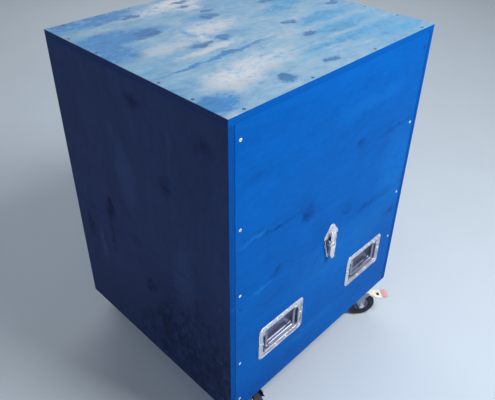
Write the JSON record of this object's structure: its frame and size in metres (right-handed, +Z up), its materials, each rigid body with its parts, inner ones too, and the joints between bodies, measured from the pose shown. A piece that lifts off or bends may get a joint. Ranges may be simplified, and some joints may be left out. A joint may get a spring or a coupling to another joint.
{
  "type": "wooden chest",
  "caption": "Blue-stained plywood chest on swivel casters: a base tray and a tall hood hinged at the back, with a front draw catch and recessed drop handles.",
  "frame": {"origin": "on the floor, under the middle of the chest", "axes": "+Z up, -Y towards the front with the catch, +X to the right seen from the front"},
  "size_m": [0.772, 0.7768, 1.068],
  "materials": {
    "stained_ply": "blue-stained plywood with a satin lacquer",
    "batten_wood": "bare planed softwood",
    "zinc_plate": "bright zinc-plated pressed steel",
    "bright_steel": "bright plated steel bar",
    "hub_plastic": "grey-blue moulded plastic",
    "tyre_rubber": "black solid rubber tread",
    "cream_steel": "cream painted pressed steel"
  },
  "bodies": {
    "base": {"base_floor": "stained_ply", "base_front_panel": "stained_ply", "base_back_panel": "stained_ply", "base_left_panel": "stained_ply", "base_right_panel": "stained_ply", "base_batten_front_left": "batten_wood", "base_batten_front_right": "batten_wood", "base_batten_back_left": "batten_wood", "base_batten_back_right": "batten_wood", "handle_dish_front_left": "zinc_plate", "handle_dish_front_right": "zinc_plate", "handle_dish_back_left": "zinc_plate", "handle_dish_back_right": "zinc_plate", "hinge_base_leaf_left": "zinc_plate", "hinge_pin_left": "bright_steel", "hinge_base_leaf_right": "zinc_plate", "hinge_pin_right": "bright_steel", "caster_plate_front_left": "zinc_plate", "caster_plate_front_right": "zinc_plate", "caster_plate_back_left": "zinc_plate", "caster_plate_back_right": "zinc_plate", "catch_base_plate": "zinc_plate", "catch_pivot_pin": "bright_steel"},
    "hood": {"hood_top_panel": "stained_ply", "hood_front_panel": "stained_ply", "hood_back_panel": "stained_ply", "hood_left_panel": "stained_ply", "hood_right_panel": "stained_ply", "hood_batten_front_left": "batten_wood", "hood_batten_front_right": "batten_wood", "hood_batten_back_left": "batten_wood", "hood_batten_back_right": "batten_wood", "hinge_hood_leaf_left": "zinc_plate", "hinge_hood_leaf_right": "zinc_plate", "catch_keeper": "zinc_plate"},
    "lever": {"catch_lever": "zinc_plate", "catch_claw_pin": "bright_steel"},
    "claw": {"catch_claw": "zinc_plate"},
    "bail_front_left": {"handle_bail_front_left": "bright_steel"},
    "bail_front_right": {"handle_bail_front_right": "bright_steel"},
    "bail_back_left": {"handle_bail_back_left": "bright_steel"},
    "bail_back_right": {"handle_bail_back_right": "bright_steel"},
    "fork_front_left": {"caster_fork_front_left": "zinc_plate", "caster_axle_front_left": "bright_steel"},
    "wheel_front_left": {"caster_hub_front_left": "hub_plastic", "caster_tyre_front_left": "tyre_rubber"},
    "fork_front_right": {"caster_fork_front_right": "zinc_plate", "caster_axle_front_right": "bright_steel"},
    "wheel_front_right": {"caster_hub_front_right": "hub_plastic", "caster_tyre_front_right": "tyre_rubber"},
    "fork_back_left": {"caster_fork_back_left": "zinc_plate", "caster_axle_back_left": "bright_steel"},
    "wheel_back_left": {"caster_hub_back_left": "hub_plastic", "caster_tyre_back_left": "tyre_rubber"},
    "fork_back_right": {"caster_fork_back_right": "zinc_plate", "caster_axle_back_right": "bright_steel"},
    "wheel_back_right": {"caster_hub_back_right": "hub_plastic", "caster_tyre_back_right": "tyre_rubber"},
    "pedal_front_right": {"brake_pedal_front_right": "cream_steel"},
    "pedal_back_right": {"brake_pedal_back_right": "cream_steel"}
  },
  "joints": [
    {"name": "hood_hinge", "type": "hinge", "parent": "base", "child": "hood", "pos_m": [0, 0.3508, 0.548], "axis": [-1, 0, 0], "range_deg": [0, 75]},
    {"name": "catch_lever_turn", "type": "hinge", "parent": "base", "child": "lever", "pos_m": [0.005, -0.351, 0.538], "axis": [-1, 0, 0], "range_deg": [0, 110]},
    {"name": "catch_claw_turn", "type": "hinge", "parent": "lever", "child": "claw", "pos_m": [0.005, -0.3535, 0.528], "axis": [-1, 0, 0], "range_deg": [-110, 0]},
    {"name": "bail_turn_front_left", "type": "hinge", "parent": "base", "child": "bail_front_left", "pos_m": [-0.19, -0.34, 0.363], "axis": [-1, 0, 0], "range_deg": [0, 90]},
    {"name": "bail_turn_front_right", "type": "hinge", "parent": "base", "child": "bail_front_right", "pos_m": [0.206, -0.34, 0.363], "axis": [-1, 0, 0], "range_deg": [0, 90]},
    {"name": "bail_turn_back_left", "type": "hinge", "parent": "base", "child": "bail_back_left", "pos_m": [-0.19, 0.34, 0.363], "axis": [1, 0, 0], "range_deg": [0, 90]},
    {"name": "bail_turn_back_right", "type": "hinge", "parent": "base", "child": "bail_back_right", "pos_m": [0.206, 0.34, 0.363], "axis": [1, 0, 0], "range_deg": [0, 90]},
    {"name": "swivel_front_left", "type": "hinge", "parent": "base", "child": "fork_front_left", "pos_m": [-0.2636, -0.291, 0.11], "axis": [0, 0, 1], "continuous": true},
    {"name": "wheel_spin_front_left", "type": "hinge", "parent": "fork_front_left", "child": "wheel_front_left", "pos_m": [-0.27343, -0.32771, 0.05], "axis": [0.9659, -0.2588, 0], "continuous": true},
    {"name": "swivel_front_right", "type": "hinge", "parent": "base", "child": "fork_front_right", "pos_m": [0.2636, -0.291, 0.11], "axis": [0, 0, 1], "continuous": true},
    {"name": "wheel_spin_front_right", "type": "hinge", "parent": "fork_front_right", "child": "wheel_front_right", "pos_m": [0.29354, -0.31439, 0.05], "axis": [0.6157, 0.788, 0], "continuous": true},
    {"name": "brake_front_right", "type": "hinge", "parent": "fork_front_right", "child": "pedal_front_right", "pos_m": [0.30773, -0.32548, 0.103], "axis": [0.6157, 0.788, 0], "range_deg": [0, 11]},
    {"name": "swivel_back_left", "type": "hinge", "parent": "base", "child": "fork_back_left", "pos_m": [-0.2636, 0.291, 0.11], "axis": [0, 0, 1], "continuous": true},
    {"name": "wheel_spin_back_left", "type": "hinge", "parent": "fork_back_left", "child": "wheel_back_left", "pos_m": [-0.27343, 0.32771, 0.05], "axis": [-0.9659, -0.2588, 0], "continuous": true},
    {"name": "swivel_back_right", "type": "hinge", "parent": "base", "child": "fork_back_right", "pos_m": [0.2636, 0.291, 0.11], "axis": [0, 0, 1], "continuous": true},
    {"name": "wheel_spin_back_right", "type": "hinge", "parent": "fork_back_right", "child": "wheel_back_right", "pos_m": [0.29354, 0.31439, 0.05], "axis": [-0.6157, 0.788, 0], "continuous": true},
    {"name": "brake_back_right", "type": "hinge", "parent": "fork_back_right", "child": "pedal_back_right", "pos_m": [0.30773, 0.32548, 0.103], "axis": [-0.6157, 0.788, 0], "range_deg": [0, 11]}
  ],
  "couplings": [
    {"joint": "catch_claw_turn", "follows": "catch_lever_turn", "ratio": -1}
  ]
}
